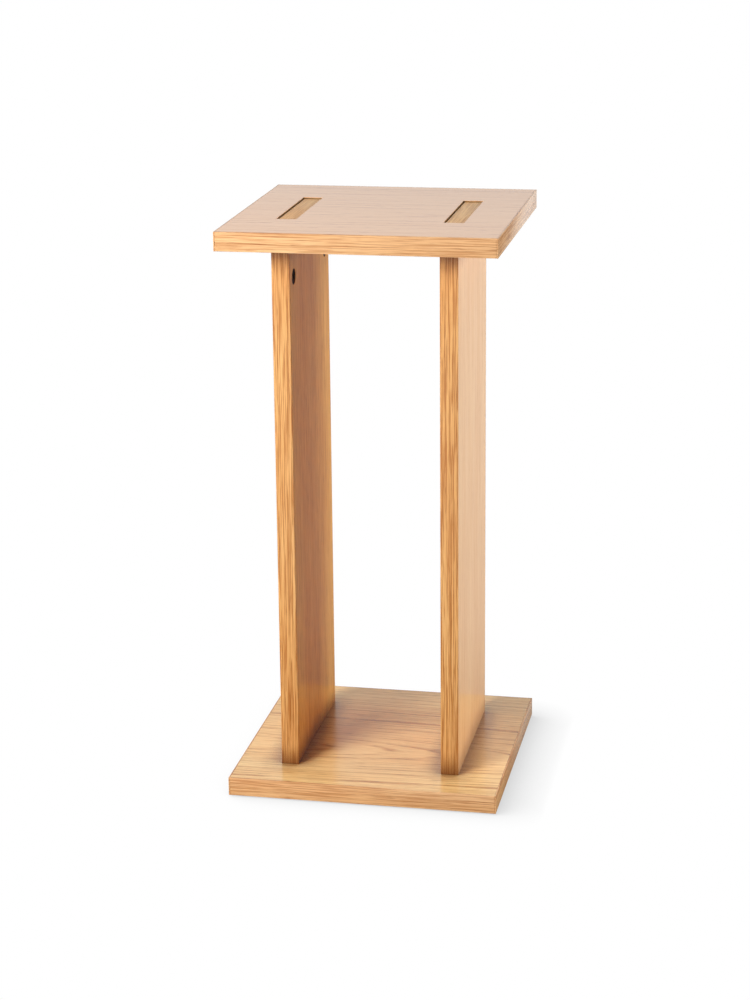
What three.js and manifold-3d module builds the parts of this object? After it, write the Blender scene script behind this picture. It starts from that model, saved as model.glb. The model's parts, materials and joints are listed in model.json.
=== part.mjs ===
// A speaker stand in veneered board: a square top plate on two upright panels over a square base.
// Each panel ends in a tongue that comes up through a mortise in the top plate. Cam locks in the
// panels' inner faces pull the plate down on to the panels' shoulders, and screws and dowels hold
// the panels to the base.
// Millimetres, +Z up, -Y front. The origin is on the floor under the middle of the base.

import * as THREE from "three";
import { mergeVertices } from "three/addons/utils/BufferGeometryUtils.js";
import Module from "manifold-3d";

// Plates
const plateWidth = 260;
const plateDepth = 260;
const plateThickness = 18;
const boardHeight = 550; // underside of the base to the face of the top plate

// Legs
const legSpan = 174; // outer face to outer face
const legDepth = 172;
const legThickness = 17;
const shoulderLength = 28; // in front of the tongue and behind it
const tongueRecess = 1.3; // end of the tongue below the face of the top plate
const mortiseSideGap = 1;
const mortiseEndGap = 0.75;

// Skins of the boards
const veneerThickness = 0.6;
const bandThickness = 1.2;
const bandArris = 0.4; // the eased outer edges of a band
const glueLine = 0.1;
const seatGap = 0.1; // between dry faces that bear on each other

// Cam locks and their bolts
const camDrop = 34; // underside of the top plate to the cam's axis
const camToTongue = 10; // end of the tongue to the cam's axis
const camHoleRadius = 7.5;
const camPlay = 0.1; // radial play of the cam in its hole
const camRecess = 0.4; // the cam's face below the veneer
const camFloor = 1;
const camUnderGap = 0.3; // under the cam in its hole
const camRunningGap = 0.35; // round the bolt's head and neck inside the cam
const camUnlockTurn = Math.PI; // from locked to the point where the bolt's head can leave
const camSlotMargin = THREE.MathUtils.degToRad(6); // of the slot past the neck at each end
const driverSlotLength = 8;
const driverSlotWidth = 1.5;
const driverSlotDepth = 2;
const boltHeadRadius = 3;
const boltHeadNear = 0.8; // the head's end, from the cam's axis
const boltHeadLength = 2.4;
const boltNeckRadius = 1.8;
const boltShankRadius = 3.4;
const boltHoleRadius = 3.9;
const boltThreadRadius = 2.9;
const boltThreadLength = 11;
const boltThreadPitch = 2;

// Screws and dowels between the legs and the base
const screwInset = 40; // from the leg's front or back edge
const screwLength = 50;
const screwHeadRadius = 4.8;
const screwHeadRim = 0.8;
const screwHeadLength = 4.5;
const screwThreadRadius = 3.5;
const screwThreadPitch = 3;
const screwSunk = 0.3; // the head below the underside of the base
const socketAcrossFlats = 4;
const socketDepth = 3;
const dowelInset = 18; // from the leg's front or back edge
const dowelRadius = 4;
const dowelInBase = 10;
const dowelInLeg = 20;
const dowelChamfer = 1;
const threadDepth = 0.5;
const threadTip = 2;
const holeGap = 0.2; // round a screw, a bolt's thread or a dowel
const holeEndGap = 1; // past the end of a screw, a bolt or a dowel
const cutReach = 1; // of a cut past the face that it opens

// Pads under the base
const padRadius = 10;
const padThickness = 1.5;
const padInset = 24; // from the plate's edges to the pad's centre

// Facets
const camSides = 36;
const turnedSides = 16;
const threadSides = 12;

// Levels above the floor
const baseBottom = padThickness + glueLine;
const baseTop = baseBottom + plateThickness;
const topFace = baseBottom + boardHeight;
const topUnderside = topFace - plateThickness;
const legFoot = baseTop + seatGap;
const legShoulder = topUnderside - seatGap;
const tongueEnd = topFace - tongueRecess;

// Places shared by the plates and the legs
const skin = veneerThickness + glueLine;
const edging = bandThickness + glueLine;
const legX = (legSpan - legThickness) / 2;
const tongueLength = legDepth - 2 * shoulderLength;
const camY = tongueLength / 2 + camToTongue;
const screwY = legDepth / 2 - screwInset;
const dowelY = legDepth / 2 - dowelInset;
const padX = plateWidth / 2 - padInset;
const padY = plateDepth / 2 - padInset;
const shoulderHeight = legShoulder - legFoot; // above the leg's foot
const camHeight = topUnderside - camDrop - legFoot; // above the leg's foot

// Sizes that make the cam turn round its bolt
const camRadius = camHoleRadius - camPlay;
const boltHeadFar = boltHeadNear + boltHeadLength;
const chamberRadius = Math.hypot(boltHeadRadius, boltHeadFar) + camRunningGap;
const chamberHalf = boltHeadRadius + camRunningGap;
const camSlotHalf = boltNeckRadius + camRunningGap;
const camBack = chamberHalf + camFloor;
const camFront = legThickness / 2 - camRecess;

const ends = [-1, 1];
const wasm = await Module();
wasm.setup();

// ---------------------------------------------------------------- solids

function solidOf(geometry) {
  const bare = geometry.clone();
  bare.deleteAttribute("normal");
  bare.deleteAttribute("uv");
  const merged = mergeVertices(bare);
  return new wasm.Manifold(
    new wasm.Mesh({
      numProp: 3,
      vertProperties: merged.attributes.position.array,
      triVerts: new Uint32Array(merged.index.array),
    }),
  );
}

function geometryOf(solid) {
  const mesh = solid.getMesh();
  const geometry = new THREE.BufferGeometry();
  geometry.setAttribute("position", new THREE.BufferAttribute(mesh.vertProperties, 3));
  geometry.setIndex(new THREE.BufferAttribute(mesh.triVerts, 1));
  const faceted = geometry.toNonIndexed();
  faceted.computeVertexNormals();
  return faceted;
}

function cut(geometry, cutters) {
  const left = cutters.reduce((body, cutter) => body.subtract(solidOf(cutter)), solidOf(geometry));
  return geometryOf(left);
}

// Turns a form made in the XY plane and extruded along Z into one drawn in YZ and extruded along X.
function acrossX(geometry) {
  const x = new THREE.Vector3(1, 0, 0);
  const y = new THREE.Vector3(0, 1, 0);
  const z = new THREE.Vector3(0, 0, 1);
  return geometry.applyMatrix4(new THREE.Matrix4().makeBasis(y, z, x));
}

function slab(shape, depth) {
  return new THREE.ExtrudeGeometry(shape, { depth, bevelEnabled: false });
}

function outline(points) {
  return new THREE.Shape(points.map(([x, y]) => new THREE.Vector2(x, y)));
}

function rectangle(width, length, x = 0, y = 0) {
  return [
    [x - width / 2, y - length / 2],
    [x + width / 2, y - length / 2],
    [x + width / 2, y + length / 2],
    [x - width / 2, y + length / 2],
  ];
}

// A round form about Z from its profile of [radius, height] pairs, listed from the bottom up.
function turned(profile, sides) {
  return new THREE.LatheGeometry(
    profile.map(([r, z]) => new THREE.Vector2(r, z)),
    sides,
  ).rotateX(Math.PI / 2);
}

function rod(radius, low, high, sides = turnedSides) {
  return turned(
    [
      [0, low],
      [radius, low],
      [radius, high],
      [0, high],
    ],
    sides,
  );
}

// Ridges of a thread as [radius, height] pairs from low to high.
function ridges(radius, low, high, pitch) {
  const count = Math.max(1, Math.floor((high - low) / pitch));
  const points = [];
  for (let i = 0; i < count; i++) {
    const start = low + i * pitch;
    points.push([radius - threadDepth, start]);
    points.push([radius, start + pitch / 2]);
  }
  points.push([radius - threadDepth, low + count * pitch]);
  return points;
}

// ---------------------------------------------------------------- finishes

function oak(color) {
  return new THREE.MeshStandardMaterial({ color, roughness: 0.45, metalness: 0 });
}

const finishes = {
  veneer: () => oak(0xdcb890),
  band: () => oak(0xdfae77),
  core: () => new THREE.MeshStandardMaterial({ color: 0xb08d63, roughness: 0.9, metalness: 0 }),
  cam: () => new THREE.MeshStandardMaterial({ color: 0x2b2623, roughness: 0.5, metalness: 0.6 }),
  steel: () => new THREE.MeshStandardMaterial({ color: 0xb9bbbd, roughness: 0.35, metalness: 1 }),
  dowel: () => new THREE.MeshStandardMaterial({ color: 0xd9b98c, roughness: 0.8, metalness: 0 }),
  felt: () => new THREE.MeshStandardMaterial({ color: 0x5a5048, roughness: 1, metalness: 0 }),
};

function piece(name, geometry, finish) {
  const mesh = new THREE.Mesh(geometry, finishes[finish]());
  mesh.name = name;
  return mesh;
}

// ---------------------------------------------------------------- screws, bolts, dowels, pads

// The screw stands in a hole from the underside of the base, which is its z = 0, up into the leg.
function screwGeometry() {
  const shank = screwThreadRadius - threadDepth;
  const threadStart = plateThickness + seatGap;
  const screw = turned(
    [
      [0, screwSunk],
      [screwHeadRadius, screwSunk],
      [screwHeadRadius, screwSunk + screwHeadRim],
      [shank, screwSunk + screwHeadLength],
      ...ridges(screwThreadRadius, threadStart, screwLength - threadTip, screwThreadPitch),
      [0, screwLength],
    ],
    threadSides,
  );
  const socketRadius = socketAcrossFlats / Math.sqrt(3);
  const socket = rod(socketRadius, -screwSunk, screwSunk + socketDepth, 6);
  return cut(screw, [socket]);
}

function screwHole() {
  return turned(
    [
      [0, -cutReach],
      [screwHeadRadius + holeGap, -cutReach],
      [screwHeadRadius + holeGap, screwSunk + screwHeadRim + holeGap],
      [screwThreadRadius + holeGap, screwSunk + screwHeadLength + holeGap],
      [screwThreadRadius + holeGap, screwLength + holeEndGap],
      [0, screwLength + holeEndGap],
    ],
    turnedSides,
  );
}

// The dowel's z = 0 is the top of the base.
function dowelGeometry() {
  const tip = dowelRadius - dowelChamfer;
  return turned(
    [
      [0, -dowelInBase],
      [tip, -dowelInBase],
      [dowelRadius, dowelChamfer - dowelInBase],
      [dowelRadius, dowelInLeg - dowelChamfer],
      [tip, dowelInLeg],
      [0, dowelInLeg],
    ],
    turnedSides,
  );
}

function dowelHole() {
  return rod(dowelRadius + holeGap, -dowelInBase - holeEndGap, dowelInLeg + holeEndGap);
}

// The bolt's z = 0 is the underside of the top plate. Its head hangs in the cam.
function boltGeometry() {
  return turned(
    [
      [0, boltHeadNear - camDrop],
      [boltHeadRadius, boltHeadNear - camDrop],
      [boltHeadRadius, boltHeadFar - camDrop],
      [boltNeckRadius, boltHeadFar - camDrop],
      [boltNeckRadius, camRadius + camRunningGap - camDrop],
      [boltShankRadius, camRadius + camRunningGap - camDrop],
      [boltShankRadius, -seatGap],
      [boltThreadRadius - threadDepth, -seatGap],
      ...ridges(boltThreadRadius, 0, boltThreadLength - threadTip, boltThreadPitch),
      [0, boltThreadLength],
    ],
    threadSides,
  );
}

function boltThreadHole() {
  return rod(boltThreadRadius + holeGap, -cutReach, boltThreadLength + holeEndGap);
}

function padGeometry() {
  return rod(padRadius, 0, padThickness);
}

// ---------------------------------------------------------------- cam lock

// The cam's Z is its axis, out of the leg's inner face, and its +Y points up at the bolt. The
// origin is where the cam's axis meets the bolt's. Locked, the neck stands at one end of the slot.
// A half turn brings the round entry to the top, where the head can leave.
function camGeometry() {
  const disc = rod(camRadius, -camBack, camFront, camSides);
  const chamber = rod(chamberRadius, -chamberHalf, chamberHalf, camSides);
  const outside = camRadius + cutReach;
  const reach = Math.asin(camSlotHalf / chamberRadius) + camSlotMargin;
  const locked = Math.PI / 2;
  const sector = new THREE.Shape();
  sector.moveTo(0, 0);
  sector.absarc(0, 0, outside, locked - camUnlockTurn - reach, locked + reach, false);
  sector.closePath();
  const slot = new THREE.ExtrudeGeometry(sector, {
    depth: 2 * camSlotHalf,
    bevelEnabled: false,
    curveSegments: camSides,
  });
  slot.translate(0, 0, -camSlotHalf);
  const entry = rod(boltHeadRadius + camRunningGap, 0, outside);
  entry.rotateX(-Math.PI / 2).rotateZ(-camUnlockTurn);
  const slots = ends.map((end) => {
    const bar = new THREE.BoxGeometry(driverSlotLength, driverSlotWidth, 2 * driverSlotDepth);
    return bar.rotateZ((end * Math.PI) / 4).translate(0, 0, camFront);
  });
  return cut(disc, [chamber, slot, entry, ...slots]);
}

function camHole() {
  const depth = camBack + camUnderGap;
  return acrossX(rod(camHoleRadius, -depth, legThickness, camSides));
}

// ---------------------------------------------------------------- edge bands

// A band's length runs along Z, its outer face looks along +Y and its inner face is at y = 0.
function bandGeometry(length, width) {
  const half = width / 2;
  const shape = outline([
    [-half, 0],
    [half, 0],
    [half, bandThickness - bandArris],
    [half - bandArris, bandThickness],
    [bandArris - half, bandThickness],
    [-half, bandThickness - bandArris],
  ]);
  return slab(shape, length).translate(0, 0, -length / 2);
}

// The four bands round a plate: the side bands run its full depth and close the others' ends.
function plateBands(plateName) {
  const between = plateWidth - 2 * edging;
  const outX = plateWidth / 2 - bandThickness;
  const outY = plateDepth / 2 - bandThickness;
  const bands = [
    { side: "back", turn: 0, length: between, x: 0, y: outY },
    { side: "left", turn: Math.PI / 2, length: plateDepth, x: -outX, y: 0 },
    { side: "front", turn: Math.PI, length: between, x: 0, y: -outY },
    { side: "right", turn: -Math.PI / 2, length: plateDepth, x: outX, y: 0 },
  ];
  return bands.map(({ side, turn, length, x, y }) => {
    const geometry = bandGeometry(length, plateThickness).rotateY(Math.PI / 2);
    const mesh = piece(`${plateName}_${side}_band`, geometry, "band");
    mesh.position.set(x, y, plateThickness / 2);
    mesh.rotation.z = turn;
    return mesh;
  });
}

// ---------------------------------------------------------------- plates

// Copies of a cutter at each of the four places (x, y) that are mirrored about both middles.
function atFour(cutter, x, y, z) {
  return ends.flatMap((a) => ends.map((b) => cutter().translate(a * x, b * y, z)));
}

// A plate's own z = 0 is its underside. The three sheets share the outline and the cutters.
function plate(name, cutters) {
  const shape = outline(rectangle(plateWidth - 2 * edging, plateDepth - 2 * edging));
  const sheets = [
    { node: "lower_veneer", low: 0, thickness: veneerThickness, finish: "veneer" },
    { node: "core", low: skin, thickness: plateThickness - 2 * skin, finish: "core" },
    {
      node: "upper_veneer",
      low: plateThickness - veneerThickness,
      thickness: veneerThickness,
      finish: "veneer",
    },
  ];
  const group = new THREE.Group();
  for (const { node, low, thickness, finish } of sheets) {
    const sheet = slab(shape, thickness).translate(0, 0, low);
    group.add(piece(`${name}_${node}`, cut(sheet, cutters), finish));
  }
  group.add(...plateBands(name));
  return group;
}

function topPlate() {
  const width = legThickness + 2 * mortiseSideGap;
  const length = tongueLength + 2 * mortiseEndGap;
  const mortises = ends.map((end) => {
    const shape = outline(rectangle(width, length, end * legX));
    return slab(shape, plateThickness + 2 * cutReach).translate(0, 0, -cutReach);
  });
  const group = plate("top", [...mortises, ...atFour(boltThreadHole, legX, camY, 0)]);
  group.position.z = topUnderside;
  return group;
}

function basePlate() {
  const cutters = [
    ...atFour(screwHole, legX, screwY, 0),
    ...atFour(dowelHole, legX, dowelY, plateThickness),
  ];
  const group = plate("base", cutters);
  group.position.z = baseBottom;
  return group;
}

// ---------------------------------------------------------------- legs

// The board's outline in Y and Z, above the leg's foot: a panel with the tongue on its top edge.
function legOutline() {
  const half = legDepth / 2 - edging;
  const tongueHalf = tongueLength / 2;
  const tongueTop = tongueEnd - legFoot - edging;
  return outline([
    [-half, 0],
    [half, 0],
    [half, shoulderHeight],
    [tongueHalf, shoulderHeight],
    [tongueHalf, tongueTop],
    [-tongueHalf, tongueTop],
    [-tongueHalf, shoulderHeight],
    [-half, shoulderHeight],
  ]);
}

// A sheet of the leg from x = low, thickness thick, with the cuts that reach it.
function legSheet(low, thickness, cutters) {
  return cut(acrossX(slab(legOutline(), thickness)).translate(low, 0, 0), cutters);
}

function legCutters() {
  const boltHoleTop = shoulderHeight + cutReach;
  return ends.flatMap((end) => [
    camHole().translate(0, end * camY, camHeight),
    rod(boltHoleRadius, camHeight, boltHoleTop).translate(0, end * camY, 0),
    screwHole().translate(0, end * screwY, baseBottom - legFoot),
    dowelHole().translate(0, end * dowelY, baseTop - legFoot),
  ]);
}

// The leg's own +X is its inner side and its z = 0 its foot. front and back name its ends at
// -Y and +Y, which change places on the leg that is turned round.
function leg(name, turn) {
  const endNames = turn ? ["back", "front"] : ["front", "back"];
  const half = legThickness / 2;
  const cutters = legCutters();
  const group = new THREE.Group();
  group.add(
    piece(`${name}_leg_core`, legSheet(skin - half, legThickness - 2 * skin, cutters), "core"),
    piece(`${name}_leg_outer_veneer`, legSheet(-half, veneerThickness, cutters), "veneer"),
    piece(
      `${name}_leg_inner_veneer`,
      legSheet(half - veneerThickness, veneerThickness, cutters),
      "veneer",
    ),
  );

  const tongueBand = bandGeometry(tongueLength, legThickness).rotateX(Math.PI / 2);
  const tongueCap = piece(`${name}_tongue_band`, tongueBand, "band");
  tongueCap.position.z = tongueEnd - legFoot - bandThickness;
  group.add(tongueCap);

  ends.forEach((end, i) => {
    const edgeBand = piece(
      `${name}_leg_${endNames[i]}_band`,
      bandGeometry(shoulderHeight, legThickness),
      "band",
    );
    edgeBand.position.set(0, end * (legDepth / 2 - bandThickness), shoulderHeight / 2);
    edgeBand.rotation.z = end < 0 ? Math.PI : 0;

    const cam = piece(`${name}_${endNames[i]}_cam`, acrossX(camGeometry()), "cam");
    cam.position.set(0, end * camY, camHeight);

    const bolt = piece(`${name}_${endNames[i]}_cam_bolt`, boltGeometry(), "steel");
    bolt.position.set(0, end * camY, topUnderside - legFoot);

    const screw = piece(`${name}_${endNames[i]}_base_screw`, screwGeometry(), "steel");
    screw.position.set(0, end * screwY, baseBottom - legFoot);

    const dowel = piece(`${name}_${endNames[i]}_dowel`, dowelGeometry(), "dowel");
    dowel.position.set(0, end * dowelY, baseTop - legFoot);

    group.add(edgeBand, cam, bolt, screw, dowel);
  });

  group.position.set(turn ? legX : -legX, 0, legFoot);
  group.rotation.z = turn;
  return group;
}

function pads() {
  const corners = [
    { name: "front_left", x: -1, y: -1 },
    { name: "front_right", x: 1, y: -1 },
    { name: "back_left", x: -1, y: 1 },
    { name: "back_right", x: 1, y: 1 },
  ];
  return corners.map(({ name, x, y }) => {
    const pad = piece(`${name}_pad`, padGeometry(), "felt");
    pad.position.set(x * padX, y * padY, 0);
    return pad;
  });
}

// ---------------------------------------------------------------- the stand

const speakerStand = new THREE.Group();
speakerStand.name = "speaker_stand";
speakerStand.add(topPlate(), basePlate(), leg("left", 0), leg("right", Math.PI), ...pads());

export default speakerStand;
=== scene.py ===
"""Finishes the speaker stand: oak veneers, edge bands and fittings round its solid boards, and the studio."""

import json  # noqa: E402
from math import cos, pi, radians, sin  # noqa: E402
from typing import NamedTuple  # noqa: E402

import bmesh  # noqa: E402
import bpy  # noqa: E402
import numpy as np  # noqa: E402
from bpy.props import FloatProperty, FloatVectorProperty, IntProperty, PointerProperty  # noqa: E402
from mathutils import Matrix, Vector  # noqa: E402

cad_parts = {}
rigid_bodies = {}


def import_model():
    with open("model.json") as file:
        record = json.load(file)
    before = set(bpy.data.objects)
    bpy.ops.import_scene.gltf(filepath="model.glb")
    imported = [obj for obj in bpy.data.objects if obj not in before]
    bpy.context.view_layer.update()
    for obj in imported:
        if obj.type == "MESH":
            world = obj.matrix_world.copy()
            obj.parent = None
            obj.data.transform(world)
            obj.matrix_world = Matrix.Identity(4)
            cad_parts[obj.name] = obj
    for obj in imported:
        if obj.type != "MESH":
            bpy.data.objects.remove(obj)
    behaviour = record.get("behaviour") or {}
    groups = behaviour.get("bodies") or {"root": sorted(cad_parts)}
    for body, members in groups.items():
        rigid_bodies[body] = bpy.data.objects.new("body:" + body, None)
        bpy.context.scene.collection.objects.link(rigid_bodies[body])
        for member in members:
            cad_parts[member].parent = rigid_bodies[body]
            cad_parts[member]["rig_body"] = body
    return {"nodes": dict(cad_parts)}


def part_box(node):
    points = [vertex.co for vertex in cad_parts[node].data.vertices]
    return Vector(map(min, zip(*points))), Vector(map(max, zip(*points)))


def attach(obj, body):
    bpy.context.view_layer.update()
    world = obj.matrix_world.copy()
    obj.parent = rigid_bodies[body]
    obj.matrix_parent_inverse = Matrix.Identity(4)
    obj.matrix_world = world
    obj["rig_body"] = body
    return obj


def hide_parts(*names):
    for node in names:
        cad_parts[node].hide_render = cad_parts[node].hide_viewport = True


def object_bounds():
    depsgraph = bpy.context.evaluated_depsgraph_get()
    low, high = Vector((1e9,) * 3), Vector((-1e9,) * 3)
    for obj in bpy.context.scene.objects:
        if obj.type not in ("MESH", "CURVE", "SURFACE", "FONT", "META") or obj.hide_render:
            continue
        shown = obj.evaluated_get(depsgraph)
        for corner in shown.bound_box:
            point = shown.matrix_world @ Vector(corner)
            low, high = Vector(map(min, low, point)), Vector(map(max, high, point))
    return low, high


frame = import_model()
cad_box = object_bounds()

bl_info = {
    "name": "Speaker stand finisher",
    "version": (1, 0, 0),
    "blender": (4, 5, 0),
    "location": "3D View > Sidebar > Stand",
    "description": "Veneers, bands and fittings of an oak speaker stand, with a studio to see it in",
    "category": "Object",
}

MM = 0.001
NEAR = MM / 100  # places closer than this are the same
SIDES = ("left", "right")
ENDS = ("front", "back")
AXES = {
    "+X": Vector((1, 0, 0)),
    "-X": Vector((-1, 0, 0)),
    "+Y": Vector((0, 1, 0)),
    "-Y": Vector((0, -1, 0)),
    "+Z": Vector((0, 0, 1)),
    "-Z": Vector((0, 0, -1)),
}


def linear(code):
    """Turns an sRGB hex colour into the linear values that Blender's sockets hold."""
    parts = [int(code[i : i + 2], 16) / 255 for i in (1, 3, 5)]
    return tuple(c / 12.92 if c <= 0.04045 else ((c + 0.055) / 1.055) ** 2.4 for c in parts)


# ---------------------------------------------------------------- settings


def length(name, description, millimetres):
    """A length of the stand, given in millimetres and kept in metres."""
    return FloatProperty(
        name=name, description=description, default=millimetres * MM, unit="LENGTH", precision=5
    )


def distance(name, description, metres):
    """A length of the studio."""
    return FloatProperty(name=name, description=description, default=metres, unit="LENGTH")


def position(name, description, metres):
    """A place in the studio."""
    return FloatVectorProperty(
        name=name, description=description, default=metres, subtype="XYZ", unit="LENGTH"
    )


def angles(name, description, degrees):
    """Two or three angles, given in degrees and kept in radians."""
    return FloatVectorProperty(
        name=name, description=description, default=[radians(a) for a in degrees], size=len(degrees),
        unit="ROTATION",
    )


def power(name, description, watts):
    """The power of a lamp."""
    return FloatProperty(name=name, description=description, default=watts, unit="POWER")


def strength(name, description, value):
    """A strength or a share, which has no unit."""
    return FloatProperty(name=name, description=description, default=value)


def colour(name, description, code):
    """A colour, given as sRGB hex and kept linear."""
    return FloatVectorProperty(
        name=name, description=description, default=linear(code), subtype="COLOR", size=3, min=0, max=1
    )


class StandSizes(bpy.types.PropertyGroup):
    """Sizes of the edges, holes and fittings. The boards' own sizes come from the frame."""

    arris: length("Band arris", "Radius of the eased outer edges of an edge band", 0.4)
    veneer_ease: length("Veneer ease", "Width of the sanded edges of a veneer and its holes", 0.14)
    mortise_side: length("Mortise side gap", "From a tongue's face to the mortise's side", 1.0)
    mortise_end: length("Mortise end gap", "From a tongue's edge to the mortise's end", 0.75)
    cam_hole: length("Cam hole", "Radius of the hole that a cam lock sits in", 7.5)
    cam_ease: length("Cam ease", "Width of the cast, rounded edges of a cam", 0.2)
    cam_gap: length("Cam gap", "From a cam's rim to the shoulder of its bolt", 0.35)
    seat_gap: length("Seat gap", "Between dry faces that bear on each other", 0.1)
    thread_gap: length("Thread gap", "From a thread's crest to its hole", 0.2)
    thread_depth: length("Thread depth", "From a thread's crest to its root", 0.5)
    thread_tip: length("Thread tip", "From a thread's end to the tip", 2.0)
    bolt_hole: length("Bolt hole", "Radius of the hole for a cam bolt's thread", 3.1)
    bolt_pitch: length("Bolt pitch", "From one turn of a cam bolt's thread to the next", 2.0)
    bolt_head: length("Bolt head", "Radius of a cam bolt's head", 3.0)
    bolt_head_length: length("Bolt head length", "Length of a cam bolt's head", 2.4)
    bolt_neck: length("Bolt neck", "Radius of a cam bolt's neck", 1.8)
    bolt_ease: length("Bolt ease", "Width of the chamfers on a cam bolt", 0.3)
    screw_hole: length("Screw hole", "Radius of the hole for a base screw's shank", 3.7)
    screw_seat: length("Screw seat", "Radius of the hole for a base screw's head", 5.0)
    screw_pitch: length("Screw pitch", "From one turn of a base screw's thread to the next", 3.0)
    screw_thread: length("Screw thread", "From a base screw's head to its thread", 18.0)
    screw_ease: length("Screw ease", "Width of the chamfers on a base screw's head", 0.25)
    head_rim: length("Head rim", "Height of the straight rim of a base screw's head", 0.8)
    head_height: length("Head height", "Height of a base screw's whole head", 4.5)
    socket: length("Hex socket", "Across the flats of the socket in a base screw's head", 4.0)
    socket_depth: length("Socket depth", "From a base screw's head to the floor of its socket", 3.0)
    socket_cone: length("Socket cone", "Depth of the drill's cone in the socket's floor", 0.4)
    dowel_hole: length("Dowel hole", "Radius of a dowel's hole", 4.2)
    dowel_chamfer: length("Dowel chamfer", "Width of the chamfers on a dowel's ends", 1.0)
    flute_depth: length("Flute depth", "Depth of the glue flutes pressed into a dowel", 0.25)
    flutes: IntProperty(name="Flutes", description="Glue flutes round a dowel", default=16, min=3)
    round_steps: IntProperty(
        name="Round steps", description="Points round a turned piece", default=72, min=24, max=180
    )


class StandColours(bpy.types.PropertyGroup):
    """Colours of the wood and the fittings, and how far the painted shade in the corners reaches."""

    # The oak colours differ from board to board partly as veneer leaves do and partly as painted light and
    # shade, each set to the light on its own faces: the legs' inner veneers are darker and more saturated, as
    # painted shade between the legs, and the base's are paler than the top's, as painted light.
    oak_top: colour("Oak, top", "Pale late growth in the top's veneers", "#F2B982")
    oak_base: colour("Oak, base", "Pale late growth in the base's veneers", "#FEDA9A")
    oak_inner: colour("Oak, legs inside", "Pale late growth in the legs' inner veneers", "#FAC262")
    oak_outer: colour("Oak, legs outside", "Pale late growth in the legs' outer veneers", "#FCC88C")
    oak_band: colour("Oak, bands", "Pale late growth in the plates' edge bands", "#E5B784")
    oak_leg_band: colour("Oak, leg bands", "Pale late growth in the legs' edge bands", "#E4AF6E")
    oak_tongue: colour("Oak, tongues", "Pale late growth in the tongues' bands", "#F3C68C")
    warm_stain: colour("Warm areas", "What warm areas let through of the pale colour", "#F3E3CF")
    line_stain: colour("Early growth", "What the porous early growth lets through", "#C6A37E")
    pore_stain: colour("Pores", "What the open pores let through", "#AE8B73")
    # This colour and the reach below are painted shade: the colour that darkens the oak in its corners, and
    # how far out it reaches.
    painted_shade_colour: colour("Corners", "What dust, wax and shade let through deep in a corner", "#8C6640")
    corner_reach: length("Corner reach", "How far the darker area reaches out of a corner", 25.0)
    # The board's colours are darker than bare chipboard: painted shade in the narrow gaps round the tongues
    # in the mortises.
    board: colour("Board", "Pressed chips under the veneer", "#8F6F47")
    board_chip: colour("Board chip", "The darker chips", "#5F4529")
    cam: colour("Cam", "Blackened die-cast zinc", "#1A1412")
    zinc: colour("Zinc", "Bright zinc plating on steel", "#C3C6C9")
    beech: colour("Beech", "Raw beech of the dowels", "#D9B184")
    beech_fleck: colour("Beech fleck", "Ray flecks in the beech", "#B98A5C")
    felt: colour("Felt", "Pressed wool felt", "#5C524A")
    felt_fibre: colour("Felt fibre", "Lighter wool fibres in the felt", "#8A7D70")
    paper: colour("Paper", "The studio's white paper", "#F4F4F4")


class StandStudio(bpy.types.PropertyGroup):
    """The camera that took the photograph, and the studio's light."""

    camera_place: position("Camera", "Where the camera stands", (0.44194, -2.28701, 0.96234))
    camera_turn: angles("Camera turn", "How the camera is turned", (73.3865, 0.9141, 12.1943))
    lens: strength("Lens", "Focal length, in millimetres", 89.867)
    sensor: strength("Sensor", "Longer side of the sensor, in millimetres", 36.0)
    shift: strength("Shift", "Sideways shift, as a share of the longer side", 0.055)
    floor_side: distance("Floor", "Side of the paper floor", 12.0)
    shade: strength("Shade", "How bright the paper is in the stand's deepest shade", 0.5)
    shade_reach: distance("Shade reach", "How far the stand's shade reaches on the paper", 0.045)
    shade_from: FloatVectorProperty(
        name="Shade from", description="Towards the light that the stand shades",
        default=(-0.6, -0.45, 0.66), subtype="DIRECTION",
    )
    ambient: strength("Ambient", "Strength of the light from all round", 0.16)
    dark_side: strength("Dark side", "How bright the studio is beside the paper", 0.1)
    low_paper: strength("Low paper", "How bright the paper is near the floor", 0.55)
    paper_edge: angles("Paper's edge", "Bearings right of the view where the paper ends", (18.5, 25.0))
    paper_dims: angles("Paper dims", "Heights between which the paper dims downwards", (-20, -8))
    paper_foot: angles("Paper's foot", "Heights between which the paper ends below", (-24.5, -19.5))
    key: power("Key", "Power of the light from the front left", 26.0)
    key_place: position("Key place", "Where the light from the front left stands", (-0.8, -1.2, 1.0))
    key_size: distance("Key size", "Side of the light from the front left", 0.6)
    top: power("Top", "Power of the light from above", 3.0)
    top_place: position("Top place", "Where the light from above hangs", (-0.3, -0.3, 1.9))
    top_size: distance("Top size", "Side of the light from above", 1.0)
    right: power("Right", "Power of the light from the back right", 46.0)
    right_place: position("Right place", "Where the light from the back right stands", (2.35, 0.6, 0.8))
    right_size: distance("Right size", "Side of the light from the back right", 1.4)


# ---------------------------------------------------------------- meshes


def place_of(node):
    """The corners and the middle of a node's box, as numpy arrays in metres."""
    low, high = (np.array(corner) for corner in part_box(node))
    return low, high, (low + high) / 2


def facing(along, out):
    """The frame of a board's face as rows: along its grain, across it, and out of the face."""
    return np.array((AXES[along], AXES[out].cross(AXES[along]), AXES[out]))


def set_piece(name, mesh, material, node, smooth=None):
    """Gives a mesh its material, shades it smooth up to an angle in degrees, and sets it on a node's body."""
    mesh.materials.clear()
    mesh.materials.append(material)
    if smooth is not None:
        mesh.shade_smooth()
        mesh.set_sharp_from_angle(angle=radians(smooth))
    piece = bpy.data.objects.new(name, mesh)
    bpy.context.scene.collection.objects.link(piece)
    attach(piece, frame["nodes"][node]["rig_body"])
    return piece


def made_piece(name, points, faces, material, node, smooth=None):
    """A new mesh from its points and faces, set on a node's body."""
    mesh = bpy.data.meshes.new(name)
    mesh.from_pydata(points, [], faces)
    mesh.validate()
    return set_piece(name, mesh, material, node, smooth)


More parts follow.
